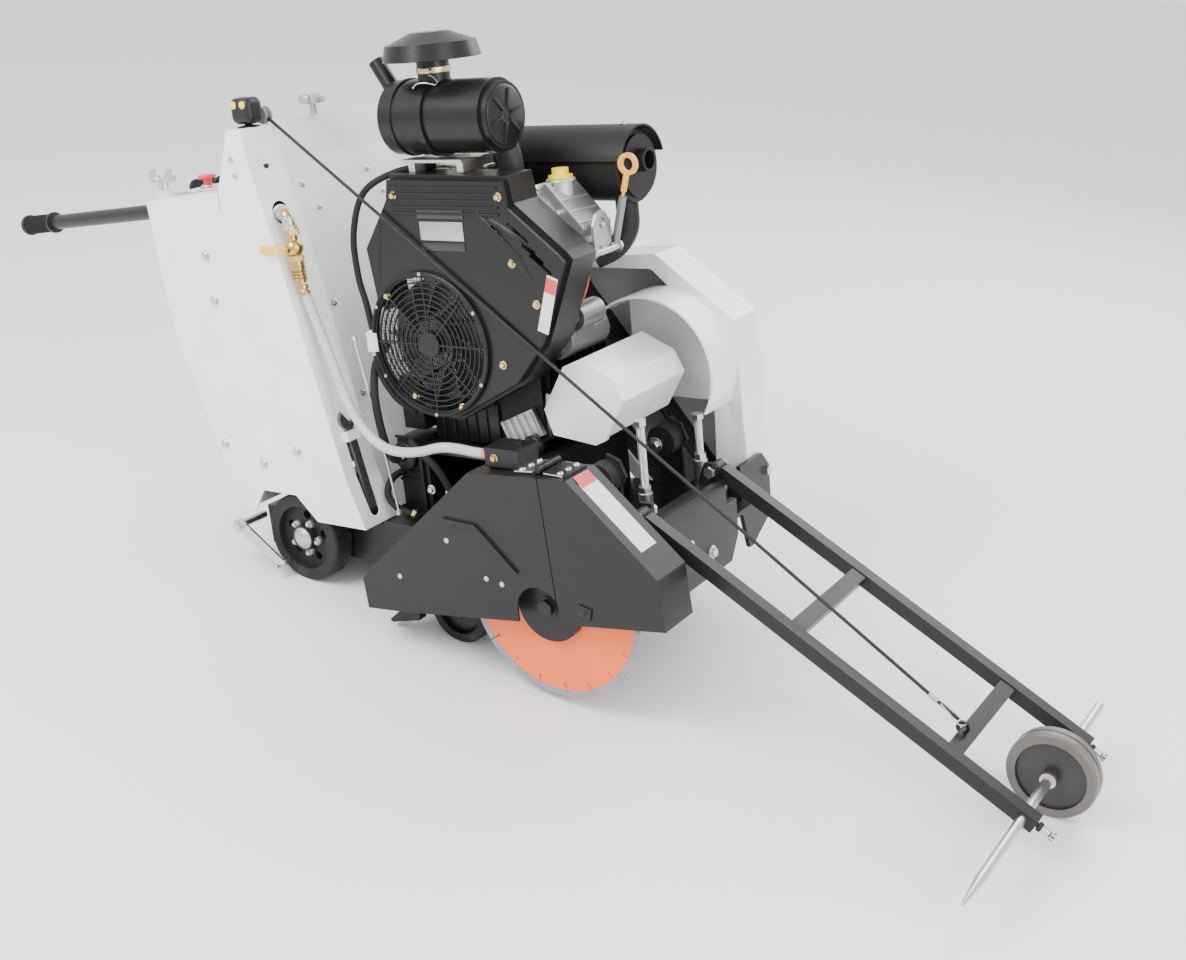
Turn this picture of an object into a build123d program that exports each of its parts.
"""Walk-behind concrete saw, built in chassis coordinates and then pitched nose-up onto its wheels.

Chassis coordinates are millimetres: x forward from near the rear axle, y to the left, z square to the deck.
"""

from build123d import *
import math
import os

os.makedirs("parts", exist_ok=True)

# Driving dimensions
PITCH = 9.3              # nose-up pitch of the raised chassis, degrees
AXLE = (25.0, 5.0)       # rear axle, x and z
REAR_R = 104.0           # rear wheel radius
FRONT_R = 77.0           # front wheel radius
FRONT_AXLE = (468.0, -95.0)
ARM_PIVOT = (255.0, 0.0)  # front carriage pivot
BLADE_R = 203.2          # 16 in blade
ARBOR = (775.0, 0.0)     # blade shaft centre
BLADE_Y = -365.0         # middle of the blade
CRANK = (403.0, 461.0)   # engine crankshaft centre
POINTER = (936.0, 172.0)  # pointer frame hinge
SLOPE = 31.4             # pointer frame slope below the deck, degrees
ROD_S = 880.0            # pointer rod, distance along the rails
POINTER_R = 85.0
LIFT_A = (860.0, -75.0)   # lift cylinder's pivot on the chassis
LIFT_B = (520.0, -100.0)  # its other end, at the carriage lug
SHIFT_X = 450.72           # the shift that centres the whole machine on the origin
SHIFT_Y = 124.0
LIFT = REAR_R - AXLE[0] * math.sin(math.radians(PITCH)) - AXLE[1] * math.cos(math.radians(PITCH)) + 0.1
PLACE = Location((-SHIFT_X, SHIFT_Y, LIFT)) * Rot(0, -PITCH, 0)


def save(name, *shapes):
    solids = [s for shape in shapes for s in shape.solids()]
    export_step(Compound([s.moved(PLACE) for s in solids]), "parts/" + name + ".step")
    print(name, len(solids), round(sum(s.volume for s in solids) / 1000), "cm3")


def box(x0, x1, y0, y1, z0, z1):
    return Pos((x0 + x1) / 2, (y0 + y1) / 2, (z0 + z1) / 2) * Box(x1 - x0, y1 - y0, z1 - z0)


def rod(p, q, r, r2=None):
    axis = Vector(*q) - Vector(*p)
    plane = Plane(origin=p, z_dir=axis)
    low = (Align.CENTER, Align.CENTER, Align.MIN)
    if r2 is None:
        return plane * Cylinder(r, axis.length, align=low)
    return plane * Cone(r, r2, axis.length, align=low)


def ycyl(x, z, y0, y1, r):
    return rod((x, y0, z), (x, y1, z), r)


def xcyl(y, z, x0, x1, r):
    return rod((x0, y, z), (x1, y, z), r)


def zcyl(x, y, z0, z1, r):
    return rod((x, y, z0), (x, y, z1), r)


def yslab(points, y0, y1):
    face = make_face(Polyline(*[(x, y0, z) for x, z in points], close=True))
    return extrude(face, amount=y1 - y0, dir=(0, 1, 0))


def xslab(points, x0, x1):
    face = make_face(Polyline(*[(x0, y, z) for y, z in points], close=True))
    return extrude(face, amount=x1 - x0, dir=(1, 0, 0))


def hexagon(p, d, flats, height):
    """A hexagonal prism that stands on p and rises along d."""
    plane = Plane(origin=p, z_dir=d)
    return plane * extrude(RegularPolygon(flats / math.sqrt(3), 6), height)


def tube(points, r):
    """A round tube along straight runs with tangent arcs."""
    vs = [Vector(*p) for p in points]
    radii = []
    for a, b, c in zip(vs, vs[1:], vs[2:]):
        run = min((b - a).length, (c - b).length)
        half = math.radians((b - a).get_angle(c - b)) / 2
        radii.append(0.45 * run / math.tan(half))
    path = FilletPolyline(*vs, radius=radii)
    section = Plane(origin=path @ 0, z_dir=path % 0) * Circle(r)
    out = sweep(section, path=path)
    print("  length", round(path.length, 1), "volume/section", round(out.volume / (math.pi * r * r), 1))
    return out


def along(s, off=0.0):
    """A point of the pointer frame, s along the rails and off above their centreline."""
    a = math.radians(SLOPE)
    return (POINTER[0] + s * math.cos(a) + off * math.sin(a),
            POINTER[1] - s * math.sin(a) + off * math.cos(a))


# ---- Frame ----
def chassis_frame():
    out = box(-140, 330, -240, -190, -50, 45) + box(-140, 330, 190, 240, -50, 45)
    out += box(320, 950, -240, -190, 15, 45) + box(320, 900, 145, 190, 15, 45)
    out += box(-140, -100, -200, 200, -30, 40) + box(180, 210, -200, 200, -30, 46)
    out += box(230, 950, -245, 195, 45, 55)
    plate = [(-250, 155), (-250, 20), (-200, -30), (20, -30), (52, 20), (52, 100), (10, 100), (10, 155)]
    out += xslab(plate, 948, 962) + box(900, 962, -240, 0, 130, 138)
    out += box(900, 910, -240, 0, 50, 134)
    for y in (-250, 0):
        out += yslab([(948, 40), (948, 190), (920, 190), (905, 150), (905, 50)], y, y + 10)
    out += ycyl(*POINTER, -283, -238, 8) + ycyl(*POINTER, -2, 43, 8)
    out += xslab([(140, 135), (140, 30), (165, -60), (180, -60), (270, -10), (270, 100), (240, 135)], 915, 925)
    out += box(890, 925, 140, 160, 20, 100)
    for y in (-180, 160):
        out += box(ARBOR[0] - 45, ARBOR[0] + 45, y, y + 34, -10, 50) + ycyl(*ARBOR, y, y + 34, 42)
    out += box(846, 880, -18, -12, -92, 50) + box(846, 880, 12, 18, -92, 50)
    out -= ycyl(LIFT_A[0], LIFT_A[1], -30, 30, 7.05)
    out -= ycyl(*ARBOR, -300, 300, 22.05)
    out -= ycyl(*ARM_PIVOT, -230, 230, 12.05)
    out += ycyl(*AXLE, -236, 236, 30)
    out += ycyl(*AXLE, -300, 300, 12)
    for x, y in ((870, -150), (870, 70)):
        out -= zcyl(x, y, 40, 60, 8.2)
    return out


def engine_base():
    out = box(300, 640, -180, 140, 55, 215) - box(308, 632, -200, 200, 54, 205)
    out += box(308, 320, -172, 132, 60, 200)
    out -= box(400, 560, -120, 80, 200, 220)
    return out + box(306, 634, 60, 68, 55.2, 206)


# ---- Cowl ----
SIDE = [(-289, 770), (-50, 792), (5, 921), (47, 922), (57, 838), (97, 673), (200, 170), (238, 58),
        (94, 58), (37, 114), (-65, 114), (-103, 60), (-130, 60), (-164, 126), (-272, 472)]
REAR = [(-289, 770), (-50, 792), (5, 921), (17, 921), (27, 838), (67, 673), (170, 170), (208, 58),
        (94, 58), (37, 114), (-65, 114), (-103, 60), (-130, 60), (-164, 126), (-272, 472)]
IN_A = [(-285, 766), (-47, 788), (8, 917), (43, 917), (53, 838), (93, 673), (196, 170), (234, 50),
        (-124, 50), (-160, 126), (-268, 472)]
IN_B = [(-285, 766), (-47, 788), (8, 917), (13, 917), (23, 838), (63, 673), (166, 170), (206, 50),
        (-124, 50), (-160, 126), (-268, 472)]
HANDLE_A = math.radians(4.9)
HANDLE_Y = 268.0
HANDLE_P = (-338.0, 737.0)  # a point on the handle's axis


def handle_point(s):
    """A point on a handlebar's axis, s towards the operator."""
    return (HANDLE_P[0] - s * math.cos(HANDLE_A), HANDLE_P[1] - s * math.sin(HANDLE_A))


def handle(s0, s1, y, r):
    a, b = handle_point(s0), handle_point(s1)
    return rod((a[0], y, a[1]), (b[0], y, b[1]), r)


def cowl_body():
    out = yslab(SIDE, -310, -208) + yslab(SIDE, 208, 310) + yslab(REAR, -209, 209)
    out -= yslab(IN_A, -306, -212)
    out -= yslab(IN_A, 212, 306)
    out -= yslab(IN_B, -306, 306)
    slope = math.atan2(103, 503)
    slot = fillet(Box(40, 30, 186).edges().filter_by(Axis.X), 13)
    out -= Pos(200, -262, 165) * Rot(0, -math.degrees(slope), 0) * slot
    out -= Pos(78, -262, 742) * Rot(0, 90, 0) * Cylinder(24, 60)
    for y in (-HANDLE_Y, HANDLE_Y):
        out += handle(-60, -260, y, 23)
        top = rod((-270, y, 740), (-270, y, 788), 15)
        out += top
        out -= handle(60, -300, y, 17.1)
        out -= rod((-270, y, 745), (-270, y, 800), 6.05)
    clamp = Pos(6, 0, 88) * Box(16, 38, 22) - Pos(4.7, 0, 88) * Box(9.2, 23, 30)
    out += Pos(200, -262, 170) * Rot(0, -math.degrees(slope), 0) * clamp
    return out - zcyl(-185, -215, 760, 800, 9.05)


def blade_wrench():
    slope = math.atan2(103, 503)
    out = Pos(4.7, 0, 15) * Box(8, 21, 190) + Pos(4.7, 0, 124) * Rot(0, 90, 0) * Cylinder(22, 8)
    out -= Pos(4.7, 6, 134) * Rot(35, 0, 0) * Box(10, 22, 34)
    return Pos(200, -262, 170) * Rot(0, -math.degrees(slope), 0) * out


def console_panel():
    a = math.degrees(math.atan2(22, 239))
    out = Pos(-168, 0, 784) * Rot(0, -a, 0) * Box(225, 470, 4)
    out -= zcyl(-185, -215, 770, 800, 9.05)
    out += zcyl(-90, -215, 790.5, 797, 6) + zcyl(-90, -215, 797, 813, 13)
    return out


def panel_bolts():
    out = []
    for side in (-1, 1):
        d = (0, side, 0)
        for x, z in ((-122, 654), (-118, 554), (-165, 216), (-49, 181), (64, 222)):
            out.append(hexagon((x, side * 310, z), d, 15, 7) + rod((x, side * 310, z), (x, side * 312, z), 11))
        for x, z in ((6, 859), (10, 826)):
            out.append(rod((x, side * 310, z), (x, side * 314, z), 7, 4.5))
    return out


# ---- Wheels and carriage ----
def wheel(centre, y0, y1, r, hub, bore):
    x, z = centre
    mid = (y0 + y1) / 2
    out = Pos(x, mid, z) * Rot(90, 0, 0) * fillet(Cylinder(r, y1 - y0).edges().filter_by(GeomType.CIRCLE), 7)
    out -= ycyl(x, z, y0 - 1, y0 + 16, r * 0.72)
    out -= ycyl(x, z, y1 - 16, y1 + 1, r * 0.72)
    out += ycyl(x, z, y0 - 2, y1 + 2, hub)
    for k in range(5):
        a = math.radians(72 * k + 10)
        out -= ycyl(x + r * 0.5 * math.cos(a), z + r * 0.5 * math.sin(a), y0, y1, r * 0.1)
    return out - ycyl(x, z, y0 - 9, y1 + 9, bore)


def front_carriage():
    out = Part() + ycyl(*ARM_PIVOT, -215, 215, 12)
    for y in (-180, 110):
        (px, pz), (ax, az) = ARM_PIVOT, FRONT_AXLE
        out += yslab([(px - 5, pz + 22), (ax + 8, az + 22), (ax + 20, az - 18), (px - 15, pz - 22)], y, y + 20)
    out += ycyl(*FRONT_AXLE, -247, 247, 14) + ycyl(*FRONT_AXLE, -314, 314, 10)
    out += yslab([(470, -84), (522, -90), (531, -100), (522, -111), (466, -108)], -6, 6)
    return out


def lift_cylinder():
    """The lift cylinder and its rod; the rod's fork straddles the carriage lug."""
    (ax, az), (bx, bz) = LIFT_A, LIFT_B
    length = math.hypot(bx - ax, bz - az)
    place = Pos(ax, 0, az) * Rot(0, math.degrees(math.atan2(bz - az, ax - bx)) + 180, 0)
    body = Pos(120, 0, 0) * Rot(0, 90, 0) * Cylinder(24, 189) + Pos(22, 0, 0) * Rot(0, 90, 0) * Cylinder(10, 36)
    body += Rot(90, 0, 0) * Cylinder(16, 22)
    body += Rot(90, 0, 0) * Cylinder(7, 44)
    body -= Pos(140, 0, 0) * Rot(0, 90, 0) * Cylinder(12.05, 160)
    stem = Pos(228, 0, 0) * Rot(0, 90, 0) * Cylinder(12, 140) + Pos(302, 0, 0) * Box(10, 32, 26)
    for y in (-12.5, 12.5):
        stem += Pos(length - 17, y, 0) * Box(60, 7, 24)
    return place * body, place * stem


def brake_lever():
    out = yslab([(-158, 34), (-140, 40), (-14, -50), (-22, -66), (-34, -66), (-160, 14)], -330, -324)
    return out + ycyl(-145, 24, -324, -249, 9)


# ---- Blade and drive ----
def blade():
    out = ycyl(*ARBOR, BLADE_Y - 1.6, BLADE_Y + 1.6, BLADE_R)
    out -= ycyl(*ARBOR, BLADE_Y - 5, BLADE_Y + 5, 12.7)
    for k in range(18):
        slot = Pos(BLADE_R - 13, 0, 0) * Box(30, 10, 3.2) + Pos(BLADE_R - 28, 0, 0) * Rot(90, 0, 0) * Cylinder(3.6, 10)
        out -= Pos(ARBOR[0], BLADE_Y, ARBOR[1]) * Rot(0, 20 * k + 7, 0) * slot
    return out


def blade_shaft():
    y = BLADE_Y + 1.6
    out = ycyl(*ARBOR, y, y + 14, 62) + ycyl(*ARBOR, y + 14, y + 34, 34)
    out += ycyl(*ARBOR, y + 20, 240, 22) + ycyl(*ARBOR, BLADE_Y - 22, y + 20, 12.7)
    out += ycyl(*ARBOR, 205, 285, 60)
    return out


def blade_flange():
    y = BLADE_Y - 1.6
    out = ycyl(*ARBOR, y - 16, y, 75) + hexagon((ARBOR[0], y - 30, ARBOR[1]), (0, 1, 0), 30, 14)
    out += ycyl(*ARBOR, y - 19, y - 10, 22)
    return out - ycyl(*ARBOR, y - 20.4, y + 1, 12.7)


def crankshaft():
    out = ycyl(*CRANK, -196, 240, 18) + ycyl(*CRANK, 205, 285, 78)
    out += ycyl(*CRANK, -160, -150, 132) + ycyl(*CRANK, -196, -150, 50)
    for k in range(12):
        fin = Pos(90, 0, 0) * Rot(0, 25, 0) * Box(70, 36, 4)
        out += Pos(CRANK[0], -174, CRANK[1]) * Rot(0, 30 * k, 0) * fin
    return out


def belt_loop(y0, y1, ra, rb, t):
    """A belt round the crank pulley and the arbor pulley."""
    (ax, az), (bx, bz) = CRANK, ARBOR
    d = math.hypot(bx - ax, bz - az)
    base = math.atan2(bz - az, bx - ax)
    def loop(r1, r2):
        a = math.acos((r1 - r2) / d)
        pts = []
        for s in (1, -1):
            pts.append((ax + r1 * math.cos(base + s * a), az + r1 * math.sin(base + s * a),
                        bx + r2 * math.cos(base + s * a), bz + r2 * math.sin(base + s * a)))
        quad = [(pts[0][0], pts[0][1]), (pts[0][2], pts[0][3]), (pts[1][2], pts[1][3]), (pts[1][0], pts[1][1])]
        return yslab(quad, y0, y1) + ycyl(ax, az, y0, y1, r1) + ycyl(bx, bz, y0, y1, r2)
    return loop(ra + t, rb + t) - loop(ra, rb)


# ---- Blade guard ----
GUARD = [(313, -2), (350, 33), (633, 271), (700, 276), (869, 283), (1056, 112), (1065, 10),
         (717, -29), (425, -61), (317, -69)]
GUARD_IN = [(318, -3), (352, 28), (635, 266), (700, 272), (867, 279), (1051.5, 110), (1062, -40), (717, -60),
            (425, -100), (322, -100)]


def guard_shell():
    out = yslab(GUARD, -414, -315) - yslab(GUARD_IN, -410, -319)
    out -= ycyl(*ARBOR, -420, -405, 52) + box(ARBOR[0] - 52, ARBOR[0] + 52, -420, -405, -60, 0)
    out -= ycyl(*ARBOR, -325, -310, 70) + box(ARBOR[0] - 70, ARBOR[0] + 70, -325, -310, -60, 0)
    return out


def blade_guards():
    shell = guard_shell()
    cut = [(796, 400), (1200, 400), (1200, -150), (832, -150)]
    front = shell & yslab(cut, -450, -300)
    rear = shell - yslab([(794, 400), (1200, 400), (1200, -150), (830, -150)], -450, -300)
    for y in (-398, -362, -340):
        rear += ycyl(795, 291, y, y + (16 if y == -398 else 12), 7.5)
    for y in (-381, -349.5):
        front += ycyl(795, 291, y, y + (18.5 if y == -381 else 9), 8)
    rear += yslab([(745, 277), (745, 281.5), (790, 288), (790, 279)], -398, -328)
    rear += box(350, 372, -414, -409, 10, 14)
    rear += yslab([(560, 170), (640, 166), (650, 158), (735, 78), (722, 76), (636, 156), (560, 160)], -420, -413)
    rear -= ycyl(795, 291, -382.5, -362, 8.4)
    rear -= ycyl(795, 291, -350, -340, 8.4)
    front += yslab([(806, 288), (806, 280), (860, 282), (860, 286)], -398, -328)
    front -= ycyl(795, 291, -400, -381.5, 8.4)
    front -= ycyl(795, 291, -362.5, -349.8, 8.4)
    front -= ycyl(795, 291, -340.4, -325, 8.4)
    foot = yslab([(345, -60), (352, -90), (302, -130), (308, -136), (388, -118), (394, -84), (388, -58)], -340, -317)
    rear += foot
    rear += box(640, 700, -316, -240, 55, 61) + box(345, 380, -316, -240, 20, 26)
    return rear, front


# ---- Far-side guards ----
HOOD = [(250, 380), (290, 545), (330, 562), (515, 567), (712, 578), (898, 442), (913, 90), (852, -30),
        (800, -85), (720, -85), (560, 120), (330, 310)]
HOOD_IN = [(255, 381), (294, 541), (331, 558), (515, 563), (711, 574), (894, 440), (909, 91), (849, -28),
           (798, -81), (722, -81), (563, 123), (333, 314)]


def belt_guard_outer():
    out = yslab(HOOD, 198, 300) - yslab(HOOD_IN, 204, 296)
    out -= yslab([(300, 330), (320, 540), (700, 545), (842, 421), (835, 158), (825, -40), (740, -40), (580, 140)],
                 190, 210)
    return out


def drum_guard():
    out = ycyl(735, 345, 92, 198, 165) - ycyl(735, 345, 80, 194, 160)
    return out - box(500, 640, 80, 210, 150, 520) - box(500, 900, 80, 210, 150, 262)


def duct_cover():
    outer = [(622, 316), (680, 412), (722, 430), (800, 395), (822, 350), (770, 262), (745, 250), (640, 262)]
    inner = [(628, 316), (683, 407), (722, 425), (797, 391), (816, 350), (766, 269), (745, 256), (645, 268)]
    out = yslab(outer, -130, 110) - yslab(inner, -126, 112)
    return out - box(640, 775, -120, 112, 240, 300)


# ---- Engine ----
HOUSING = [(333, 811), (636, 808), (645, 755), (758, 666), (775, 649), (700, 476), (626, 388), (503, 324),
           (448, 294), (328, 308), (264, 539), (250, 662), (325, 768)]


def scaled(points, k, cx, cz):
    return [(cx + (x - cx) * k, cz + (z - cz) * k) for x, z in points]


def blower_housing():
    front = [(x, z) for x, z in HOUSING]
    out = yslab(front, -190, -110) + yslab(scaled(front, 0.965, 490, 560), -208, -190)
    out -= yslab(scaled(front, 0.95, 490, 560), -200, -105)
    out += ycyl(*CRANK, -216, -200, 156)
    out -= ycyl(*CRANK, -220, -120, 147)
    for k in range(4):
        x, z = 660 + 16 * k, 700 - 20 * k
        out -= Pos(x, -200, z) * Rot(0, 38, 0) * Box(60, 60, 7)
    for k in range(5):
        out += box(345, 620, -211, -205, 785 - 13 * k, 790 - 13 * k)
    return out


def fan_grille():
    out = Part()
    for k in range(11):
        r = 26 + 11.9 * k
        out += ycyl(*CRANK, -214, -211, r + 1.6) - ycyl(*CRANK, -215, -210, r - 1.6)
    for k in range(8):
        out += Pos(CRANK[0], -212, CRANK[1]) * Rot(0, 45 * k, 0) * Pos(84, 0, 0) * Box(122, 3, 4)
    return out + ycyl(*CRANK, -215, -209, 26) + (ycyl(*CRANK, -212, -206, 146.8) - ycyl(*CRANK, -216, -204, 143))


def crankcase():
    pts = [(300, 330), (320, 520), (380, 590), (470, 590), (560, 500), (600, 420), (600, 260), (540, 215), (320, 215)]
    out = yslab(pts, -104, 150)
    for y in range(-90, 150, 24):
        out += box(598, 612, y, y + 6, 250, 400)
    return out - ycyl(*CRANK, -120, 160, 18.05)


def bank(angle, r0, r1, half, y0, y1):
    """A block that leans out from the crankshaft at angle, from r0 to r1."""
    block = Pos((r0 + r1) / 2, (y0 + y1) / 2, 0) * Box(r1 - r0, y1 - y0, 2 * half)
    return Pos(CRANK[0], 0, CRANK[1]) * Rot(0, -angle, 0) * block


def cylinders():
    out = []
    for angle, y0, reach in ((43, -104, 330), (112, -104, 268)):
        one = bank(angle, 130, reach, 52, y0 + 12, y0 + 118)
        for k in range(9):
            r = 150 + 19 * k
            if r < reach - 8:
                one += bank(angle, r, r + 5, 78, y0, y0 + 130)
        one += bank(angle, reach - 4, reach + 26, 84, y0 + 2, y0 + 128)
        out.append(one - ycyl(*CRANK, -120, 160, 30) - crankcase())
    return out


def valve_covers():
    out = []
    for angle, y0, reach in ((43, -104, 330), (112, -104, 268)):
        one = bank(angle, reach + 26, reach + 40, 80, y0 + 4, y0 + 126)
        one += bank(angle, reach + 40, reach + 66, 62, y0 + 16, y0 + 114)
        out.append(one)
    cap = Pos(655, -40, 745) * Cylinder(26, 70)
    eye = xslab([(-74, 628), (-74, 690), (-60, 712), (-44, 718), (-28, 712), (-14, 690), (-14, 628)], 742, 748)
    eye -= xcyl(-44, 692, 730, 760, 11)
    out[0] += cap + eye + Pos(735, -48, 636) * Box(34, 72, 14)
    heads = cylinders()
    return [out[0] - heads[0], out[1] - heads[1]]


def oil_cap():
    return zcyl(655, -40, 780.3, 786, 25) + zcyl(655, -40, 785, 800, 17) - box(630, 680, -45, -42, 790, 802)


def dipstick():
    d = Vector(math.sin(math.radians(16)), 0, math.cos(math.radians(16)))
    p = Vector(762, -2, 690)
    out = rod(tuple(p), tuple(p + d * 95), 3) + rod(tuple(p + d * 60), tuple(p + d * 96), 6)
    q = p + d * 116
    ring = Pos(q.X, q.Y, q.Z) * Rot(90, 0, 25) * (Cylinder(22, 8) - Cylinder(13, 10))
    return out + ring, rod(tuple(p - d * 60), tuple(p + d * 50), 8) - rod(tuple(p - d * 10), tuple(p + d * 60), 4)


def starter_motor():
    out = ycyl(648, 457, -100, 40, 40) + ycyl(648, 457, -108, -100, 30)
    out += ycyl(690, 505, -90, -10, 27) + box(640, 690, -80, -20, 455, 500)
    return out + ycyl(690, 505, -104, -90, 12) - crankcase()


def air_cleaner():
    y, z = -120, 916
    body = xcyl(y, z, 324, 440, 75) + xcyl(y, z, 312, 324, 60) + xcyl(y, z, 424, 440, 79)
    body += xcyl(y, z, 352, 360, 78) + zcyl(424, y, 960, 1026, 33)
    elbow = tube([(560, -90, 862), (562, -76, 815), (550, -66, 775), (518, -60, 745)], 26)
    elbow -= xcyl(y, z, 432, 660, 73.2)
    elbow -= xcyl(y, z, 424, 440.1, 79.2)
    ind = rod((332, y, 940), (274, y, 1030), 17)
    body += ind
    cover = xcyl(y, z, 440.2, 580, 73) + xcyl(y, z, 580, 593, 66) + xcyl(y, z, 593, 597, 20)
    cover -= xcyl(y, z, 589, 610, 12) + zcyl(424, y, 940, 1040, 33.3)
    cap = zcyl(424, y, 1026.2, 1034, 34) + rod((424, y, 1030), (424, y, 1062), 100, 92)
    cap += rod((424, y, 1060), (424, y, 1082), 92, 40)
    cap -= zcyl(424, y, 1020, 1026, 120)
    bracket = box(360, 518, y - 62, y + 62, 832, 838) - xcyl(y, z, 300, 700, 80)
    bracket += box(370, 386, y - 50, y + 50, 811, 833) + box(496, 512, y - 50, y + 50, 811, 833)
    bracket += box(366, 516, y + 20, y + 50, 809, 815)
    return body, cover, cap, bracket, elbow


def muffler():
    y, z = 97, 783
    out = xcyl(y, z, 330, 748, 72) + xcyl(y, z, 748, 759, 64) + xcyl(y, z + 12, 758, 782, 24)
    out -= xcyl(y, z, 420, 744, 60)
    out -= xcyl(y, z + 12, 740, 810, 19)
    shell = xcyl(y, z, 350, 766, 84) - xcyl(y, z, 340, 800, 80)
    shell &= box(340, 800, y - 100, y + 100, z + 20, z + 100)
    for x in (390, 724):
        out += box(x, x + 12, y - 8, y + 8, z + 66, z + 82)
    out += shell + tube([(722, 92, 730), (724, 90, 655), (704, 70, 618), (664, 44, 600)], 24)
    for head in cylinders() + valve_covers():
        out -= head
    return out


# ---- Controls ----
def speed_lever():
    head = Pos(27, -265, 955) * Box(58, 46, 54)
    head = fillet(head.edges(), 14)
    out = head + Pos(27, -265, 932) * Sphere(9.8)
    for x in (14, 40):
        out -= Pos(x, -284, 968) * Rot(90, 0, 0) * Cylinder(8.1, 14)
    return out


def lever_button(x):
    out = Pos(x, -286, 968) * Rot(90, 0, 0) * Cylinder(8, 8)
    return fillet(out.edges().filter_by(GeomType.CIRCLE).sort_by(Axis.Y)[:1], 2)


def wing_knob(y):
    out = rod((-270, y, 762), (-270, y, 800), 6) + zcyl(-270, y, 789, 812, 11)
    for s in (-1, 1):
        wing = Pos(-270 + s * 26, y, 818) * Rot(0, -s * 28, 0) * Rot(90, 0, 0) * Cylinder(15, 6)
        out += wing + rod((-270, y, 802), (-270 + s * 20, y, 814), 5)
    return out


def tee_knob():
    out = zcyl(30, -72, 922.3, 948, 8)
    out += fillet((Pos(30, -72, 956) * Cylinder(30, 18)).edges(), 5)
    for k in range(4):
        a = math.radians(45 + 90 * k)
        out -= Pos(30 + 34 * math.cos(a), -72 + 34 * math.sin(a), 956) * Cylinder(11, 30)
    return out


def rope_cleat():
    out = zcyl(30, -222, 922.5, 941, 7)
    for y in (-232, -217):
        out += ycyl(30, 941, y, y + 5, 17)
    return out + ycyl(30, 941, -232, -212, 9)


def stop_button():
    cap = fillet((Pos(-185, -215, 810) * Cylinder(20, 8)).edges(), 3)
    return cap + zcyl(-185, -215, 776, 808, 9)


# ---- Water line ----
def water_parts():
    y = -285
    elbow = tube([(75, y + 22, 742), (95, y + 10, 742), (118, y, 742), (122, y, 724), (124, y, 706)], 13)
    elbow += hexagon((124, y, 700), (0, 0, 1), 32, 12) + rod((126, y, 640), (124, y, 702), 12)
    elbow += Pos(126, y, 672) * Sphere(20) + hexagon((127, y, 645), (0, 0, 1), 30, 12)
    elbow += rod((128, y, 626), (127, y, 646), 16) + rod((131, y, 598), (128, y, 628), 12)
    elbow += ycyl(126, 672, y - 30, y, 7)
    lever = ycyl(126, 672, y - 38, y - 30.3, 10) + box(60, 126, y - 36, y - 32, 664, 680)
    return elbow, lever


HOSE = [(132, -285, 592), (150, -285, 540), (172, -286, 480), (192, -287, 420), (212, -289, 362),
        (238, -292, 310), (278, -297, 272), (326, -303, 252), (380, -310, 252), (436, -316, 262),
        (492, -323, 281), (548, -330, 286), (604, -337, 284), (648, -342, 288)]


def manifold():
    out = box(660, 742, -385, -320, 280, 318) + rod((640, -342, 288), (664, -343, 291), 13.5)
    out += hexagon((716, -352, 318), (0, 0, 1), 17, 8) + ycyl(684, 298, -388, -384, 7)
    out -= rod((630, -341, 287), (653, -342.5, 289), 11.6)
    return out


# ---- Pointer ----
def rail(y, s0, s1):
    a, b = along(s0, 14), along(s1, 14)
    c, d = along(s1, -14), along(s0, -14)
    return yslab([a, b, c, d], y, y + 28)


def pointer_frame():
    out = rail(-284, 12, 905) + rail(16, 12, 905)
    for y0, y1 in ((-284, -251), (11, 44)):
        out += ycyl(*POINTER, y0, y1, 15)
    for s in (366, 721):
        a, b, c, d = along(s - 16, 12), along(s + 16, 12), along(s + 16, -12), along(s - 16, -12)
        out += yslab([a, b, c, d], -258, 18)
    for y in (-270, 30):
        p, q = along(905), along(935)
        out += rod((p[0], y, p[1]), (q[0], y, q[1]), 5)
        out += hexagon((q[0], y, q[1]), (q[0] - p[0], 0, q[1] - p[1]), 15, 7)
        n = along(908)
        out += hexagon((n[0], y, n[1]), (q[0] - p[0], 0, q[1] - p[1]), 17, 8)
    e = along(712, 12)
    eye = Pos(e[0], -200, e[1] + 8) * Rot(90, 0, 0) * (Cylinder(13, 6) - Cylinder(7, 8))
    out += eye
    out -= ycyl(*POINTER, -300, 60, 8.05)
    p = along(ROD_S)
    return out - ycyl(p[0], p[1], -300, 60, 9.55)


def pointer_rod():
    p = along(ROD_S)
    out = ycyl(p[0], p[1], -490, 168, 9.5) + rod((p[0], -565, p[1]), (p[0], -490, p[1]), 2.5, 9.5)
    return out + ycyl(p[0], p[1], -146, -138, 15) + ycyl(p[0], p[1], -82, -74, 15)


def pointer_wheel():
    p = along(ROD_S)
    body = Pos(p[0], -110, p[1]) * Rot(90, 0, 0) * fillet(Cylinder(POINTER_R, 40).edges(), 6)
    body -= ycyl(p[0], p[1], -131, -124, 66)
    body -= ycyl(p[0], p[1], -96, -89, 66)
    body += ycyl(p[0], p[1], -137, -83, 16)
    body -= (ycyl(p[0], p[1], -112, -108, 90) - ycyl(p[0], p[1], -113, -107, 81))
    return body - ycyl(p[0], p[1], -140, -80, 9.6)


ROPE_A = (43.0, -222.0, 933.0)


def rope_end():
    e = along(712, 12)
    return (e[0] - 8, -200.0, e[1] + 22)


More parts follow.
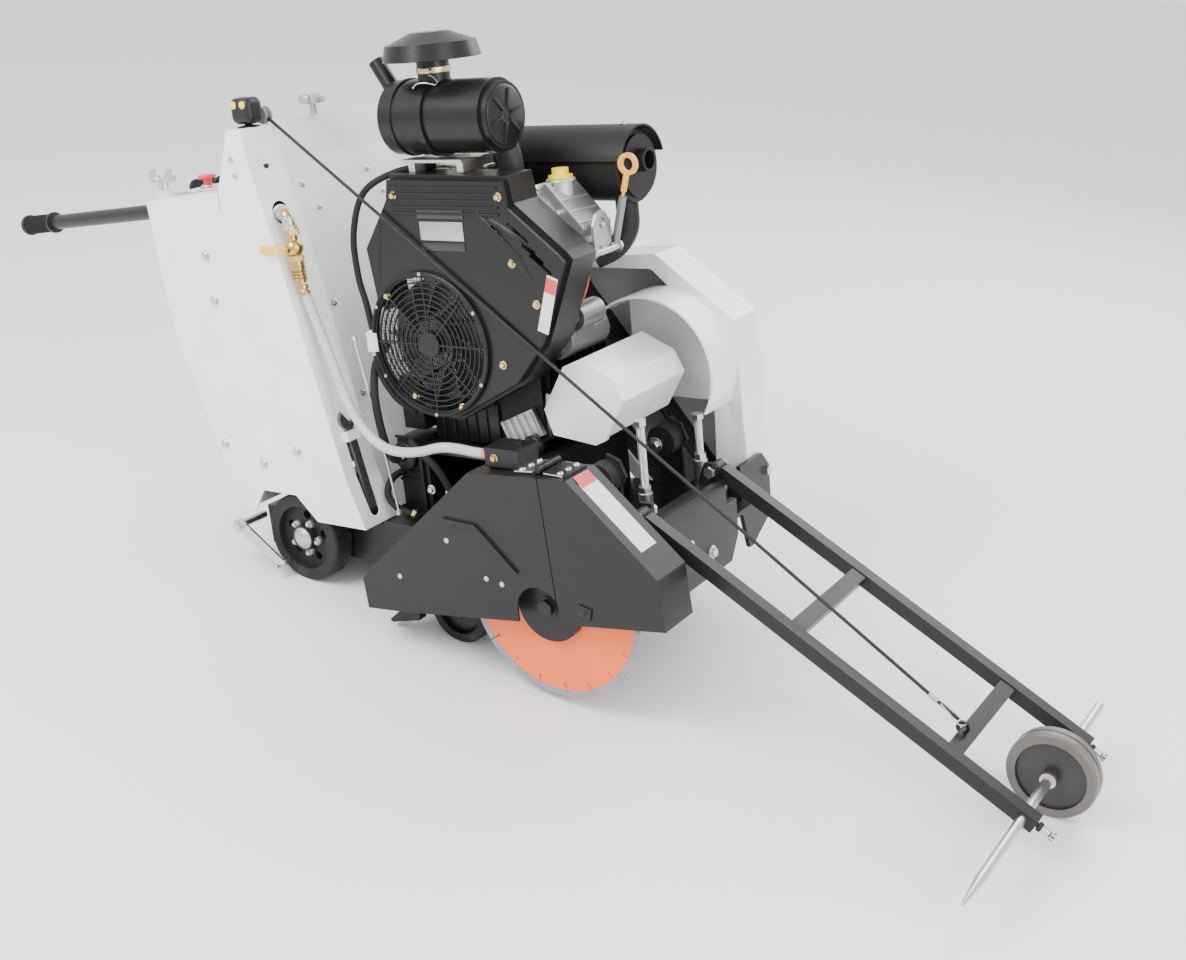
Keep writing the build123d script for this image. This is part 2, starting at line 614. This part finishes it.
def jack_bolts():
    out = []
    for x, y, top in ((870, -150, 314), (870, 70, 262)):
        one = zcyl(x, y, 30, top, 8) + hexagon((x, y, top - 2), (0, 0, 1), 24, 11)
        one += hexagon((x, y, 170), (0, 0, 1), 24, 14) + zcyl(x, y, 55, 170, 15)
        out.append(one)
    for x, y in ((770, -100), (800, 20), (700, -210), (600, -215), (480, -215)):
        out.append(hexagon((x, y, 55), (0, 0, 1), 19, 9) + zcyl(x, y, 55, 57, 14))
    for y, d in ((-238, 1), (-2, -1)):
        out.append(hexagon((POINTER[0], y, POINTER[1]), (0, d, 0), 22, 9))
    out.append(hexagon((962, -150, 70), (1, 0, 0), 19, 9))
    out.append(hexagon((925, 255, 90), (1, 0, 0), 19, 9))
    return out


def pivot_mounts():
    out = []
    for x, y, z in ((797, -190, 205), (785, 70, 205)):
        one = ycyl(x, z, y - 18, y + 18, 34) + ycyl(x, z, y - 26, y + 26, 9)
        one += hexagon((x, y - 32, z), (0, 1, 0), 20, 8)
        one += yslab([(x + 30, 55), (x + 30, z - 20), (x + 44, z), (x + 30, z + 34), (x, z + 46), (x, z + 34),
                      (x - 22, z), (x - 34, 55)], y + 18, y + 26)
        out.append(one)
    return out


rear_guard, front_guard = blade_guards()
cleaner, cover, cap, bracket, elbow = air_cleaner()
stick, stick_tube = dipstick()
valve, lever = water_parts()
cyl_body, cyl_rod = lift_cylinder()

save("chassis_frame", chassis_frame())
save("engine_base", engine_base())
save("cowl_body", cowl_body())
save("console_panel", console_panel())
save("panel_bolts", *panel_bolts())
save("fuel_tank", fillet(box(-215, 10, -170, 170, 440, 690).edges(), 12))
save("rear_wheel_right", wheel(AXLE, -298, -244, REAR_R, 30, 12.06))
save("rear_wheel_left", wheel(AXLE, 244, 298, REAR_R, 30, 12.06))
save("front_carriage", front_carriage())
save("front_wheel_right", wheel(FRONT_AXLE, -303, -253, FRONT_R, 22, 10.06))
save("front_wheel_left", wheel(FRONT_AXLE, 253, 303, FRONT_R, 22, 10.06))
save("lift_cylinder", cyl_body)
save("lift_rod", cyl_rod)
save("brake_lever", brake_lever())
save("blade", blade())
save("blade_shaft", blade_shaft())
save("blade_flange", blade_flange())
save("crankshaft", crankshaft())
save("drive_belts", *[belt_loop(212 + 17 * k, 224 + 17 * k, 78.4, 60.4, 7) for k in range(4)])
save("blade_guard_rear", rear_guard)
save("blade_guard_front", front_guard)
save("belt_guard_outer", belt_guard_outer())
save("drum_guard", drum_guard())
save("duct_cover", duct_cover())
save("blower_housing", blower_housing())
save("fan_grille", fan_grille())
save("crankcase", crankcase())
save("cylinders", *cylinders())
save("valve_covers", *valve_covers())
save("oil_cap", oil_cap())
save("dipstick", stick)
save("dipstick_tube", stick_tube)
save("starter_motor", starter_motor())
save("air_cleaner_body", cleaner)
save("air_cleaner_cover", cover)
save("rain_cap", cap)
save("cleaner_bracket", bracket)
save("intake_elbow", elbow)
save("muffler", muffler())
save("blade_wrench", blade_wrench())
save("speed_lever", speed_lever())
save("button_forward", lever_button(40))
save("button_reverse", lever_button(14))
save("wing_knob_right", wing_knob(-HANDLE_Y))
save("wing_knob_left", wing_knob(HANDLE_Y))
for name, y in (("handlebar_right", -HANDLE_Y), ("handlebar_left", HANDLE_Y)):
    save(name, handle(-230, 350, y, 17) + handle(345, 450, y, 21) + handle(345, 352, y, 25) + handle(440, 450, y, 24))
save("tee_knob", tee_knob())
save("rope_cleat", rope_cleat())
save("stop_button", stop_button())
save("ball_valve", valve)
save("valve_lever", lever)
save("water_hose", tube(HOSE, 10.5))
save("water_manifold", manifold())
save("pointer_frame", pointer_frame())
save("pointer_rod", pointer_rod())
save("pointer_wheel", pointer_wheel())
save("pointer_rope", rod(ROPE_A, rope_end(), 3.5))
save("jack_bolts", *jack_bolts())
save("pivot_mounts", *pivot_mounts())
